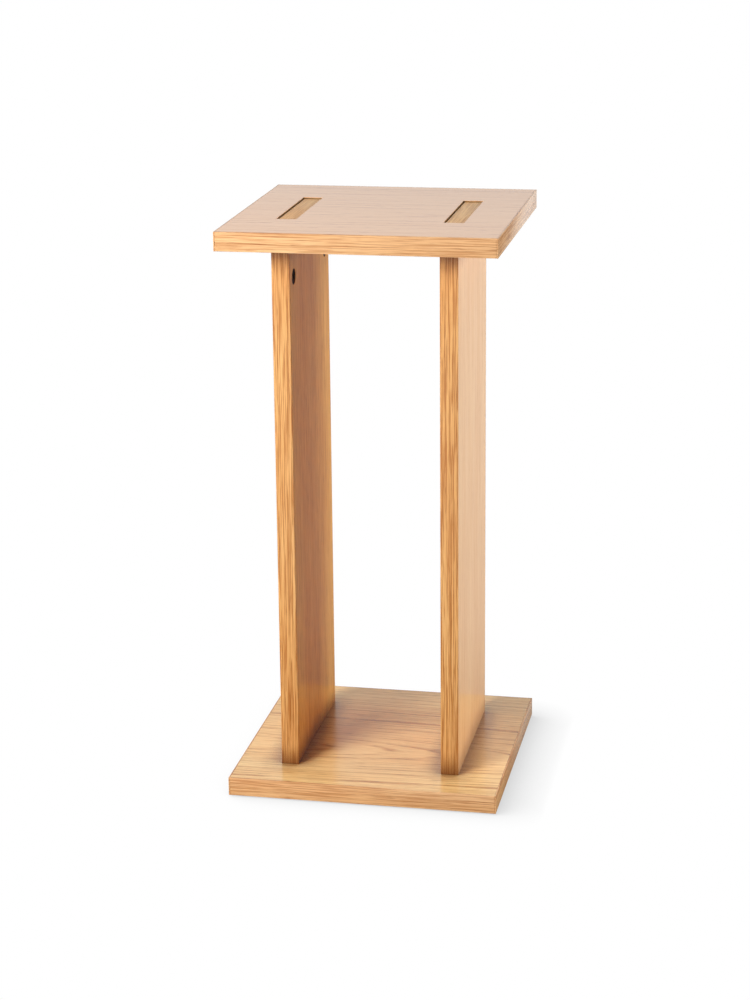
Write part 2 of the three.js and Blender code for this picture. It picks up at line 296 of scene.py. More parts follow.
def lofted(rings):
    """Joins rings of points, listed from the first to the last and each anticlockwise seen from ahead,
    by a wall of quads, and closes the first and the last ring with a flat cap."""
    count, around = rings.shape[:2]
    step, turn = np.meshgrid(np.arange(count - 1), np.arange(around), indexing="ij")
    here = step * around + turn
    beside = step * around + (turn + 1) % around
    quads = np.stack([here, beside, beside + around, here + around], axis=-1).reshape(-1, 4)
    first = np.arange(around)[::-1]
    last = np.arange(around) + (count - 1) * around
    return rings.reshape(-1, 3), quads.tolist() + [first.tolist(), last.tolist()]


def lattice(spans, windows, holes, steps=18, reach=1.5, cell=20 * MM):
    """A flat sheet as a lattice of cells: the cells inside a window are left out, and those in the square
    round a hole give way to a ring that runs from the square's edge to the hole's circle. spans are the
    sheet's extents, a window is (low, high) corners, and a hole is (centre, radius). steps are the cells
    along a square's side, reach is half that side in radii of the widest hole, and cell is the widest."""
    square = reach * max((radius for _, radius in holes), default=0)
    lines = []
    for axis in (0, 1):
        marks = [np.array(spans[axis])]
        marks += [np.array((low[axis], high[axis])) for low, high in windows]
        marks += [np.linspace(c[axis] - square, c[axis] + square, steps + 1) for c, _ in holes]
        found = np.unique(np.round(np.concatenate(marks), 7))
        gaps = zip(found[:-1], found[1:], strict=True)
        fills = [np.linspace(a, b, int(np.ceil((b - a) / cell)) + 1) for a, b in gaps]
        lines.append(np.unique(np.round(np.concatenate(fills), 7)))
    across, up = lines
    columns, rows = len(across), len(up)
    grid_x, grid_y = np.meshgrid(across, up, indexing="ij")
    points = np.stack([grid_x.ravel(), grid_y.ravel()], axis=-1)
    number = np.arange(columns * rows).reshape(columns, rows)
    middle_x = (grid_x[:-1, :-1] + grid_x[1:, 1:]) / 2
    middle_y = (grid_y[:-1, :-1] + grid_y[1:, 1:]) / 2
    kept = np.ones(middle_x.shape, bool)
    for low, high in windows + [(np.array(c) - square, np.array(c) + square) for c, _ in holes]:
        inside = (middle_x > low[0]) & (middle_x < high[0]) & (middle_y > low[1]) & (middle_y < high[1])
        kept &= ~inside
    cells = np.stack([number[:-1, :-1], number[1:, :-1], number[1:, 1:], number[:-1, 1:]], axis=-1)[kept]
    faces = [cells]
    for centre, radius in holes:
        left, right = (np.searchsorted(across, centre[0] + s * square - NEAR) for s in (-1, 1))
        low, high = (np.searchsorted(up, centre[1] + s * square - NEAR) for s in (-1, 1))
        edge = np.concatenate(
            [
                number[left:right, low],
                number[right, low:high],
                number[right:left:-1, high],
                number[left, high:low:-1],
            ]
        )
        outward = points[edge] - centre
        angle = np.arctan2(outward[:, 1], outward[:, 0])
        circle = centre + radius * np.stack([np.cos(angle), np.sin(angle)], axis=-1)
        inner = len(points) + np.arange(len(edge))
        points = np.concatenate([points, circle])
        faces.append(np.stack([edge, np.roll(edge, -1), np.roll(inner, -1), inner], axis=-1))
    faces = np.concatenate(faces)
    used, faces = np.unique(faces, return_inverse=True)
    return points[used], faces.reshape(-1, 4)


def flat_window(view, low, high):
    """The corners of a box seen in a face's frame, as a window of the lattice."""
    corners = np.stack([view @ low, view @ high])
    return corners.min(0)[:2], corners.max(0)[:2]


def veneer(node, along, out, holes, windows, material, sizes):
    """A veneer: a lattice on the outer face of the node's box, given the box's thickness inwards, with its
    edges and rims sanded. holes are (middle, radius) and windows (low, high), in the stand's frame."""
    view = facing(along, out)
    low, high, _ = place_of(node)
    spans = np.sort(np.stack([view @ low, view @ high]), axis=0)
    flat_holes = [((view @ middle)[:2], radius) for middle, radius in holes]
    flat_windows = [flat_window(view, *window) for window in windows]
    flat, faces = lattice(spans.T[:2], flat_windows, flat_holes)
    level = np.full((len(flat), 1), spans[1, 2])
    points = np.hstack([flat, level]) @ view
    piece = made_piece(f"{node}_finished", points, faces, material, node)
    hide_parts(node)
    wall = piece.modifiers.new("thickness", "SOLIDIFY")
    wall.thickness = spans[1, 2] - spans[0, 2]
    wall.offset = -1
    ease = piece.modifiers.new("sanded_edges", "BEVEL")
    ease.width = sizes.veneer_ease
    ease.segments = 2
    ease.limit_method = "ANGLE"
    ease.angle_limit = radians(60)
    ease.use_clamp_overlap = False


def quarter(count=5):
    """Angles of a quarter turn, for an eased edge."""
    return np.linspace(0, pi / 2, count)


def band_section(width, thickness, radius):
    """A band's section, anticlockwise seen from ahead: flat against the board, its two outer edges rounded
    by quarter circles. Columns are across the band and out from the board."""
    turn = quarter()
    centre = (width / 2 - radius, thickness - radius)
    right = centre + radius * np.stack([np.cos(turn), np.sin(turn)], axis=-1)
    left = right[::-1] * (-1, 1)
    return np.concatenate([[(-width / 2, 0), (width / 2, 0)], right, left])


def edge_band(node, along, out, material, sizes):
    """An edge band: its section carried straight along it. Near each end the section is held under a
    quarter circle, which eases the end's outer edge as the section eases the long ones."""
    view = facing(along, out)
    low, high, middle = place_of(node)
    reach, width, thickness = np.abs(view @ (high - low))
    radius = sizes.arris
    section = band_section(width, thickness, radius)
    turn = quarter()
    inset = radius * (1 - np.cos(turn))
    limit = thickness - radius * (1 - np.sin(turn))
    stations = np.concatenate([inset - reach / 2, (reach / 2 - inset)[::-1]])
    limits = np.concatenate([limit, limit[::-1]])
    rings = np.empty((len(stations), len(section), 3))
    rings[..., 0] = stations[:, None]
    rings[..., 1] = section[:, 0]
    rings[..., 2] = np.minimum(section[:, 1], limits[:, None]) - thickness / 2
    points, faces = lofted(rings)
    points = points @ view + middle
    piece = made_piece(f"{node}_finished", points, faces, material, node, smooth=25)
    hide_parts(node)


def turned(profile, steps, radius_at=None):
    """Rings about Z from [radius, height] pairs. radius_at, where given, changes the radii by the angle."""
    angle = np.arange(steps) * 2 * pi / steps
    radius = np.repeat(profile[:, :1], steps, axis=1)
    if radius_at is not None:
        radius = radius_at(radius, profile[:, 1:], angle)
    height = np.repeat(profile[:, 1:], steps, axis=1)
    return np.stack([radius * np.cos(angle), radius * np.sin(angle), height], axis=-1)


def turned_piece(node, profile, steps, material, smooth, radius_at=None):
    """Turns a profile about the upright line through the middle of a node's box, in that node's place."""
    middle = place_of(node)[2]
    points, faces = lofted(turned(profile, steps, radius_at))
    points = points + (middle[0], middle[1], 0)
    piece = made_piece(f"{node}_finished", points, faces, material, node, smooth)
    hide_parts(node)


def threaded(radius, height, angle, low, high, pitch, depth):
    """A thread between two heights: the radius falls from the crest by a triangle wave of the height in
    pitches less the turn, and the crest sinks to the root over half a pitch at each end."""
    wave = np.abs((height / pitch - angle / (2 * pi)) % 1 * 2 - 1)
    fade = np.clip(np.minimum(height - low, high - height) / (pitch / 2), 0, 1)
    inside = (height > low) & (height < high)
    return np.where(inside, radius - depth + depth * wave * fade, radius)


def steps_between(low, high, step):
    """Even places from low to high, at most a step apart."""
    return np.linspace(low, high, int(np.ceil((high - low) / step)) + 1)


# ---------------------------------------------------------------- materials


def add(tree, kind, inputs=None, stops=None, **settings):
    """Adds a node, sets its properties, and feeds each input from an output or a constant. stops are the
    positions and grey levels of a colour ramp."""
    made = tree.nodes.new(kind)
    for key, value in settings.items():
        setattr(made, key, value)
    for socket, value in (inputs or {}).items():
        if isinstance(value, bpy.types.NodeSocket):
            tree.links.new(value, made.inputs[socket])
        else:
            made.inputs[socket].default_value = value
    if stops:
        elements = made.color_ramp.elements
        while len(elements) < len(stops):
            elements.new(1)
        for element, (position, level) in zip(elements, stops, strict=True):
            element.position = position
            element.color = (level, level, level, 1)
    return made


def new_material(name):
    """An empty node material, its tree and its Principled shader, already joined to the output."""
    material = bpy.data.materials.new(name)
    material.use_nodes = True
    tree = material.node_tree
    tree.nodes.clear()
    shader = add(tree, "ShaderNodeBsdfPrincipled")
    add(tree, "ShaderNodeOutputMaterial", {"Surface": shader.outputs["BSDF"]})
    return material, tree, shader


def opaque(rgb):
    """A colour with its alpha, as colour sockets hold it."""
    return (*rgb, 1)


# Sizes of the oak's patterns, in millimetres: along the grain, across it, and into the wood.
LONG_WAVES = (170, 45, 45)
SHORT_WAVES = (26, 7, 7)
LINE_PATCHES = (110, 6, 6)  # where the early growth shows more or less
WARM_PATCHES = (190, 24, 24)
# Fibres are 0.1 mm wide and pores 0.3 mm: they are drawn coarser, so that they show from a step away.
FIBRES = (45, 0.8, 0.8)
STREAKS = (55, 0.9, 0.9)
PORES = (13, 0.8, 0.8)
# How dark the early growth is through the year, from one spring (0) to the next (1).
EARLY_GROWTH = ((0, 0.6), (0.07, 1), (0.2, 0.5), (0.36, 0.08), (0.9, 0), (1, 0.6))
LACQUER_IOR = 1.5
# The lacquer's roughness. The tongues' ends lie sunk, where they are sanded and rubbed down less.
ROUGHNESS = {"top": 0.16, "base": 0.22, "leg": 0.16, "band": 0.18, "tongue": 0.5}
SPECK_EDGE = 0.12  # how softly a speck's edge fades, in levels of its noise


class Figure(NamedTuple):
    """How a sheet was cut from its log. Lengths are in millimetres."""

    heart: tuple  # where the log's heart comes nearest the sheet: along the grain, across it
    taper: float  # how fast the sheet leaves the heart along the grain
    ring: float  # a year's growth
    wander: float  # how far the grain strays
    line: float  # how strongly the early growth shows
    streak: float  # how strongly the bundles of fibres show
    pore: float  # how strongly the pores show
    gold: float  # how much of the sheet is warm
    # This field is painted shade: how dark the wood's colour is made in its corners, where the joints' shade
    # falls.
    corner_shade: float = 0.0  # how dark its corners are


def lacquered_oak(name, along, out, figure, shift, pale, colours, roughness):
    """European oak, sliced or sawn, sanded and given a clear satin lacquer. Each year's porous early growth
    is a darker line, and its lines are nested spears near the heart and straight beside it. The lacquer is
    one smooth film, so it mirrors the studio softly at a low angle."""
    material, tree, shader = new_material(name)
    origin = add(tree, "ShaderNodeTexCoord").outputs["Object"]
    grain = add(
        tree, "ShaderNodeMapping",
        {"Vector": origin, "Location": shift, "Scale": (1 / MM,) * 3,
         "Rotation": Matrix(facing(along, out)).to_euler()},
    ).outputs["Vector"]

    def noise(source, size, detail=2.0, result="Fac"):
        """A noise whose waves have a size along the grain, across it and into the wood."""
        scaled = add(
            tree, "ShaderNodeVectorMath", {0: source, 1: [1 / s for s in size]}, operation="MULTIPLY"
        ).outputs["Vector"]
        made = add(tree, "ShaderNodeTexNoise", {"Vector": scaled, "Detail": detail, "Scale": 1.0})
        return made.outputs[result]

    def strayed(source, size, amount):
        """Pushes the grain aside by a noise, and never along itself."""
        pushed = noise(source, size, result="Color")
        return add(
            tree, "ShaderNodeVectorMath", {0: pushed, 1: (0, amount, amount), 2: source},
            operation="MULTIPLY_ADD",
        ).outputs["Vector"]

    def patches(size, low, high, faint=0.0, detail=2.0):
        """Where a noise rises above a level, softly: faint outside the patches and 1 in them."""
        return add(
            tree, "ShaderNodeMapRange",
            {0: noise(wavy, size, detail), 1: low, 2: high, 3: faint, 4: 1.0},
            interpolation_type="SMOOTHSTEP",
        ).outputs[0]

    def stained(wood, pattern, amount, stain):
        """A stain over the wood where a pattern shows."""
        share = add(tree, "ShaderNodeMath", {0: pattern, 1: amount}, operation="MULTIPLY").outputs[0]
        return add(
            tree, "ShaderNodeMix", {0: share, 6: wood, 7: opaque(stain)}, data_type="RGBA",
            blend_type="MULTIPLY", clamp_factor=True,
        ).outputs[2]

    wavy = strayed(strayed(grain, LONG_WAVES, 4 * figure.wander), SHORT_WAVES, 0.8 * figure.wander)
    heart = (figure.heart[0] + shift[0], figure.heart[1] + shift[1], shift[2])
    from_heart = add(tree, "ShaderNodeVectorMath", {0: wavy, 1: heart}, operation="SUBTRACT")
    leaned = add(
        tree, "ShaderNodeVectorMath", {0: from_heart.outputs["Vector"], 1: (figure.taper, 1, 0)},
        operation="MULTIPLY",
    )
    radius = add(tree, "ShaderNodeVectorMath", {0: leaned.outputs["Vector"]}, operation="LENGTH")
    years = add(
        tree, "ShaderNodeMath", {0: radius.outputs["Value"], 1: figure.ring}, operation="DIVIDE"
    ).outputs[0]
    # Good and bad summers: a noise of the years moves each ring a little.
    summers = add(
        tree, "ShaderNodeTexNoise", {"W": years, "Scale": 0.45, "Detail": 2.0}, noise_dimensions="1D"
    ).outputs["Fac"]
    aged = add(
        tree, "ShaderNodeMath", {0: summers, 1: 3.0, 2: years}, operation="MULTIPLY_ADD"
    ).outputs[0]
    season = add(tree, "ShaderNodeMath", {0: aged}, operation="FRACT").outputs[0]
    early = add(tree, "ShaderNodeValToRGB", {0: season}, stops=EARLY_GROWTH).outputs["Color"]

    shown = patches(LINE_PATCHES, 0.36, 0.62, faint=0.15)
    line = add(tree, "ShaderNodeMath", {0: early, 1: shown}, operation="MULTIPLY").outputs[0]
    in_line = add(
        tree, "ShaderNodeMapRange", {0: line, 1: 0.0, 2: 0.6, 3: 0.3, 4: 1.0},
        interpolation_type="SMOOTHSTEP",
    ).outputs[0]
    open_pores = patches(PORES, 0.54, 0.68, detail=1.0)
    pores = add(tree, "ShaderNodeMath", {0: open_pores, 1: in_line}, operation="MULTIPLY").outputs[0]

    wood = stained(opaque(pale), patches(WARM_PATCHES, 0.3, 0.7), figure.gold, colours.warm_stain)
    wood = stained(wood, line, figure.line, colours.line_stain)
    wood = stained(wood, patches(STREAKS, 0.46, 0.58), figure.streak, colours.line_stain)
    wood = stained(wood, pores, figure.pore, colours.pore_stain)
    if figure.corner_shade:
        # Painted shade: the wood is darkened where little of the space round it is open, for the shade that
        # falls at the joints.
        corner = add(
            tree, "ShaderNodeAmbientOcclusion", {"Distance": colours.corner_reach}, samples=6
        ).outputs["AO"]
        deep = add(
            tree, "ShaderNodeMapRange", {0: corner, 1: 1.0, 2: 0.55, 3: 0.0, 4: 1.0},
            interpolation_type="SMOOTHSTEP",
        ).outputs[0]
        wood = stained(wood, deep, figure.corner_shade, colours.painted_shade_colour)
    fibre = noise(grain, FIBRES, 3.0)
    # The film sinks a little over the pores.
    relief = add(tree, "ShaderNodeMath", {0: fibre, 1: pores}, operation="SUBTRACT").outputs[0]
    bump = add(tree, "ShaderNodeBump", {"Strength": 0.2, "Distance": 0.02 * MM, "Height": relief})
    tree.links.new(wood, shader.inputs["Base Color"])
    tree.links.new(bump.outputs["Normal"], shader.inputs["Normal"])
    shader.inputs["Roughness"].default_value = roughness
    shader.inputs["IOR"].default_value = LACQUER_IOR
    return material


def speckled(name, shades, speck, size, contrast, roughness, metallic=0.0, bump=0.0):
    """A surface of specks or fibres: one shade over another, from a noise of the given size along each
    axis, and a matching relief. speck is the level where the second shade starts, and contrast how much of
    it shows at most. Sizes and the bump are in millimetres."""
    material, tree, shader = new_material(name)
    origin = add(tree, "ShaderNodeTexCoord").outputs["Object"]
    scaled = add(tree, "ShaderNodeMapping", {"Vector": origin, "Scale": [1 / (s * MM) for s in size]})
    grain = add(
        tree, "ShaderNodeTexNoise", {"Vector": scaled.outputs["Vector"], "Scale": 1.0, "Detail": 3.0}
    ).outputs["Fac"]
    share = add(
        tree, "ShaderNodeMapRange", {0: grain, 1: speck, 2: speck + SPECK_EDGE, 3: 0.0, 4: contrast},
        interpolation_type="SMOOTHSTEP",
    ).outputs[0]
    shade = add(
        tree, "ShaderNodeMix", {0: share, 6: opaque(shades[0]), 7: opaque(shades[1])}, data_type="RGBA"
    ).outputs[2]
    tree.links.new(shade, shader.inputs["Base Color"])
    if bump:
        raised = add(tree, "ShaderNodeBump", {"Strength": 0.6, "Distance": bump * MM, "Height": grain})
        tree.links.new(raised.outputs["Normal"], shader.inputs["Normal"])
    shader.inputs["Roughness"].default_value = roughness
    shader.inputs["Metallic"].default_value = metallic
    return material


# ---------------------------------------------------------------- how each sheet of oak is cut

TOP_CUT = Figure(
    heart=(-420, -20), taper=0.06, ring=9, wander=1.6, line=0.28, streak=0.08, pore=0.6, gold=0.3
)
BASE_CUT = Figure(
    heart=(-330, -35), taper=0.09, ring=5.4, wander=1.4, line=0.95, streak=0.35, pore=0.6, gold=0.4,
    corner_shade=0.85,
)
UNDER_CUT = Figure(
    heart=(60, 15), taper=0.08, ring=6, wander=1.6, line=0.4, streak=0.22, pore=0.5, gold=0.5
)
LEG_CUT = Figure(
    heart=(900, 260), taper=0.02, ring=4, wander=1.0, line=0.35, streak=0.45, pore=0.5, gold=0.6,
    corner_shade=0.9,
)
LEG_OUTER_CUT = Figure(
    heart=(900, 200), taper=0.02, ring=6, wander=1.2, line=0.16, streak=0.12, pore=0.3, gold=0.4,
    corner_shade=0.5,
)
BAND_CUT = Figure(
    heart=(-500, 60), taper=0.03, ring=2, wander=0.6, line=0.6, streak=0.6, pore=0.4, gold=0.6
)
LEG_BAND_CUT = Figure(
    heart=(-600, 50), taper=0.02, ring=2, wander=0.3, line=0.55, streak=0.8, pore=0.4, gold=0.6,
    corner_shade=0.8,
)
TONGUE_CUT = Figure(
    heart=(-200, 40), taper=0.03, ring=2, wander=0.5, line=0.35, streak=0.45, pore=0.4, gold=0.8
)

PLATE_FACES = {
    "top_upper_veneer": ("+X", "+Z", TOP_CUT),
    "top_lower_veneer": ("+X", "-Z", UNDER_CUT),
    "base_upper_veneer": ("+X", "+Z", BASE_CUT),
    "base_lower_veneer": ("+X", "-Z", UNDER_CUT),
}
PLATE_EDGES = {"front": ("+X", "-Y"), "back": ("-X", "+Y"), "left": ("-Y", "-X"), "right": ("+Y", "+X")}


def four(template):
    """The names of the four like fittings, one at each end of each leg."""
    return [template.format(side=side, end=end) for side in SIDES for end in ENDS]


def inward_of(side):
    """Where a leg's inner face looks."""
    return "+X" if side == "left" else "-X"


def stray(index):
    """Where in the log a sheet comes from, so that no two sheets are alike: a place in millimetres."""
    return (613.0 * index, 241.0 * index, 97.0 * index)


# ---------------------------------------------------------------- operators


class STAND_OT_plate_veneers(bpy.types.Operator):
    """Lays the veneers on both faces of the top and the base, with the mortises and the fittings' holes"""

    bl_idname = "stand.plate_veneers"
    bl_label = "Plate veneers"

    def execute(self, context):
        sizes, colours = context.scene.stand_sizes, context.scene.stand_colours
        grow = np.array((sizes.mortise_side, sizes.mortise_end, 0))
        mortises = []
        for side in SIDES:
            low, high, _ = place_of(f"{side}_tongue_band")
            mortises.append((low - grow, high + grow))
        bolts = [(place_of(name)[2], sizes.bolt_hole) for name in four("{side}_{end}_cam_bolt")]
        screws = [place_of(name)[2] for name in four("{side}_{end}_base_screw")]
        dowels = [(place_of(name)[2], sizes.dowel_hole) for name in four("{side}_{end}_dowel")]
        openings = {
            "top_upper_veneer": ([], mortises),
            "top_lower_veneer": (bolts, mortises),
            "base_upper_veneer": ([(middle, sizes.screw_hole) for middle in screws] + dowels, []),
            "base_lower_veneer": ([(middle, sizes.screw_seat) for middle in screws], []),
        }
        for index, (node, (along, out, cut)) in enumerate(PLATE_FACES.items()):
            plate = node.split("_")[0]
            # The top's and the base's colours differ partly as painted light: the base's is paler.
            pale = getattr(colours, f"oak_{plate}")
            name = f"lacquered_oak_{node}"
            oak = lacquered_oak(name, along, out, cut, stray(index), pale, colours, ROUGHNESS[plate])
            veneer(node, along, out, *openings[node], oak, sizes)
        return {"FINISHED"}


class STAND_OT_leg_veneers(bpy.types.Operator):
    """Lays the veneers on both faces of the legs and their tongues, with round holes for the cam locks"""

    bl_idname = "stand.leg_veneers"
    bl_label = "Leg veneers"

    def execute(self, context):
        sizes, colours = context.scene.stand_sizes, context.scene.stand_colours
        for index, side in enumerate(SIDES):
            inward = inward_of(side)
            outward = inward_of("right" if side == "left" else "left")
            tongue_low, tongue_high, _ = place_of(f"{side}_tongue_band")
            shoulder = place_of(f"{side}_leg_front_band")[1][2]
            cams = [(place_of(f"{side}_{end}_cam")[2], sizes.cam_hole) for end in ENDS]
            # The inner veneers' colour is darker and more saturated than the outer's: painted shade between
            # the legs.
            faces = (
                ("inner", inward, cams, LEG_CUT, colours.oak_inner),
                ("outer", outward, [], LEG_OUTER_CUT, colours.oak_outer),
            )
            for number, (face, out, holes, cut, pale) in enumerate(faces):
                node = f"{side}_leg_{face}_veneer"
                low, high, _ = place_of(node)
                shoulders = [
                    (np.array((low[0], low[1], shoulder)), np.array((high[0], tongue_low[1], high[2]))),
                    (np.array((low[0], tongue_high[1], shoulder)), np.array((high[0], high[1], high[2]))),
                ]
                log = stray(10 + index + 4 * number)
                name = f"lacquered_oak_{node}"
                oak = lacquered_oak(name, "+Z", out, cut, log, pale, colours, ROUGHNESS["leg"])
                veneer(node, "+Z", out, holes, shoulders, oak, sizes)
        return {"FINISHED"}


class STAND_OT_edge_bands(bpy.types.Operator):
    """Bands the edges of the plates, the legs and the tongues"""

    bl_idname = "stand.edge_bands"
    bl_label = "Edge bands"

    def execute(self, context):
        sizes, colours = context.scene.stand_sizes, context.scene.stand_colours
        bands = [
            (f"{plate}_{edge}_band", along, out, BAND_CUT, colours.oak_band)
            for plate in ("top", "base")
            for edge, (along, out) in PLATE_EDGES.items()
        ]
        for side in SIDES:
            bands.append((f"{side}_leg_front_band", "+Z", "-Y", LEG_BAND_CUT, colours.oak_leg_band))
            bands.append((f"{side}_leg_back_band", "+Z", "+Y", LEG_BAND_CUT, colours.oak_leg_band))
            bands.append((f"{side}_tongue_band", "+Y", "+Z", TONGUE_CUT, colours.oak_tongue))
        for index, (node, along, out, cut, pale) in enumerate(bands):
            roughness = ROUGHNESS["tongue" if "tongue" in node else "band"]
            name = f"lacquered_oak_{node}"
            oak = lacquered_oak(name, along, out, cut, stray(20 + index), pale, colours, roughness)
            edge_band(node, along, out, oak, sizes)
        return {"FINISHED"}


class STAND_OT_board_cores(bpy.types.Operator):
    """Gives the boards' cores their pressed chips"""

    bl_idname = "stand.board_cores"
    bl_label = "Board cores"

    def execute(self, context):
        colours = context.scene.stand_colours
        # Chipboard: chips of 1 to 3 mm pressed with glue and sawn, which leaves a dull, speckled, rough face.
        # These chips are darker than bare chipboard: painted shade in the narrow gaps round the tongues in
        # the mortises.
        shades = (colours.board, colours.board_chip)
        chips = speckled("sawn_chipboard", shades, 0.5, (2.4, 2.4, 1.2), 0.7, 0.9, bump=0.2)
        for node in ("top_core", "base_core", "left_leg_core", "right_leg_core"):
            mesh = frame["nodes"][node].data
            mesh.materials.clear()
            mesh.materials.append(chips)
        return {"FINISHED"}


class STAND_OT_cam_locks(bpy.types.Operator):
    """Casts the cam locks with eased edges, each with a raised arrow that points at its bolt when locked"""

    bl_idname = "stand.cam_locks"
    bl_label = "Cam locks"

    def execute(self, context):
        sizes, colours = context.scene.stand_sizes, context.scene.stand_colours
        # Die-cast zinc, blackened: nearly black, dull, with the grain of the mould.
        shades = (colours.cam, colours.felt)
        metal = speckled("blackened_die_cast_zinc", shades, 0.62, (0.5, 0.5, 0.5), 0.15, 0.6, bump=0.02)
        metal.node_tree.nodes["Principled BSDF"].inputs["Specular IOR Level"].default_value = 0.2
        for side in SIDES:
            for end in ENDS:
                node = f"{side}_{end}_cam"
                self.cast(node, metal, sizes)
                self.arrow(node, inward_of(side), metal)
        return {"FINISHED"}

    def cast(self, node, metal, sizes):
        """A merged copy of the cam's solid, with its edges eased."""
        mesh = frame["nodes"][node].data.copy()
        mesh.name = f"{node}_finished"
        solid = bmesh.new()
        solid.from_mesh(mesh)
        bmesh.ops.remove_doubles(solid, verts=solid.verts, dist=MM / 1000)
        bmesh.ops.dissolve_limit(solid, angle_limit=radians(1), verts=solid.verts, edges=solid.edges)
        solid.to_mesh(mesh)
        solid.free()
        piece = set_piece(f"{node}_finished", mesh, metal, node, smooth=30)
        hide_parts(node)
        ease = piece.modifiers.new("cast_edges", "BEVEL")
        ease.width = sizes.cam_ease
        ease.segments = 2
        ease.limit_method = "ANGLE"
        ease.angle_limit = radians(40)

    def arrow(self, node, inward, metal):
        """A raised arrow head near the cam's rim: a triangle carried out from the face, drawn in at its top.
        Its corners are in radii of the cam, up towards the bolt and across."""
        view = facing("+Z", inward)
        low, high, middle = place_of(node)
        face = np.max(np.stack([view @ low, view @ high]), axis=0)[2]
        corners = np.array([(0.9, 0), (0.62, 0.17), (0.62, -0.17)]) * (high[2] - low[2]) / 2
        shrink = np.array([1, 1, 0.82])
        height = np.array([-0.1, 0.12, 0.2]) * MM
        heart = corners.mean(0)
        rings = np.empty((len(height), len(corners), 3))
        rings[..., :2] = heart + (corners - heart) * shrink[:, None, None] + (view @ middle)[:2]
        rings[..., 2] = face + height[:, None]
        points, faces = lofted(rings)
        made_piece(f"{node}_arrow", points @ view, faces, metal, node, smooth=30)


class STAND_OT_base_screws(bpy.types.Operator):
    """Turns and threads the base screws, with a countersunk head and a hexagon socket"""

    bl_idname = "stand.base_screws"
    bl_label = "Base screws"

    def execute(self, context):
        steel = plated_steel(context.scene.stand_colours)
        for node in four("{side}_{end}_base_screw"):
            self.turn(node, steel, context.scene.stand_sizes)
        return {"FINISHED"}

    def turn(self, node, steel, sizes):
        """The profile runs from the socket's floor down its wall, out over the head and up the shank to the
        tip. The socket's wall is a hexagon: half its width over the cosine of the angle from a flat's
        middle."""
        low, high, _ = place_of(node)
        bottom, top, head = low[2], high[2], (high[0] - low[0]) / 2
        across = sizes.socket / 2
        corner = across / cos(pi / 6)
        ease = sizes.screw_ease
        crest = sizes.screw_hole - sizes.thread_gap
        root = crest - sizes.thread_depth
        start, end = bottom + sizes.screw_thread, top - sizes.thread_tip
        floor = bottom + sizes.socket_depth
        profile = np.array(
            [(across * 0.2, floor + sizes.socket_cone), (across, floor)]
            + [(across, bottom + ease), (corner + ease, bottom)]
            + [(head - ease, bottom), (head, bottom + ease), (head, bottom + sizes.head_rim)]
            + [(root, bottom + sizes.head_height)]
            + [(crest, z) for z in steps_between(start, end, 0.25 * MM)]
            + [(root * 0.8, top - 1 * MM), (root * 0.3, top)]
        )
        profile[profile[:, 1] == start, 0] = root

        def radius_at(radius, height, angle):
            """Threads the shank, and makes the socket's wall, the second and third rings, a hexagon."""
            hexagon = across / np.cos((angle + pi / 6) % (pi / 3) - pi / 6)
            shaped = threaded(radius, height, angle, start, end, sizes.screw_pitch, sizes.thread_depth)
            shaped[1:3] = hexagon
            return shaped

        turned_piece(node, profile, sizes.round_steps, steel, 30, radius_at)


class STAND_OT_cam_bolts(bpy.types.Operator):
    """Turns and threads the cam bolts, each with the head and neck that its cam pulls on"""

    bl_idname = "stand.cam_bolts"
    bl_label = "Cam bolts"

    def execute(self, context):
        steel = plated_steel(context.scene.stand_colours)
        for cam in four("{side}_{end}_cam"):
            self.turn(cam, steel, context.scene.stand_sizes)
        return {"FINISHED"}

    def turn(self, cam, steel, sizes):
        """The profile runs from the head's end in the cam up the neck, the shank and the thread, which starts
        at the plate's underside."""
        node = f"{cam}_bolt"
        low, high, _ = place_of(node)
        bottom, top, shank = low[2], high[2], (high[0] - low[0]) / 2
        crest = sizes.bolt_hole - sizes.thread_gap
        root = crest - sizes.thread_depth
        head, neck, ease = sizes.bolt_head, sizes.bolt_neck, sizes.bolt_ease
        neck_top = place_of(cam)[1][2] + sizes.cam_gap
        head_top = bottom + sizes.bolt_head_length
        start, end = place_of("top_lower_veneer")[0][2], top - sizes.thread_tip
        seat = start - sizes.seat_gap
        profile = np.array(
            [(head * 0.5, bottom), (head - ease, bottom), (head, bottom + ease), (head, head_top - ease)]
            + [(head - ease, head_top), (neck, head_top), (neck, neck_top)]
            + [(shank - ease, neck_top), (shank, neck_top + ease), (shank, start - ease)]
            + [(shank - ease, seat), (root, seat)]
            + [(crest, z) for z in steps_between(start, end, 0.2 * MM)]
            + [(root * 0.8, top - 0.8 * MM), (root * 0.4, top)]
        )
        profile[profile[:, 1] == start, 0] = root

        def radius_at(radius, height, angle):
            """Threads the end."""
            return threaded(radius, height, angle, start, end, sizes.bolt_pitch, sizes.thread_depth)

        turned_piece(node, profile, sizes.round_steps, steel, 30, radius_at)


def plated_steel(colours):
    """Turned steel with bright zinc: metallic, with faint rings left by the tool."""
    found = bpy.data.materials.get("zinc_plated_steel")
    if found:
        return found
    shades = (colours.zinc, colours.felt_fibre)
    return speckled("zinc_plated_steel", shades, 0.6, (2, 2, 0.15), 0.25, 0.32, metallic=1.0, bump=0.01)


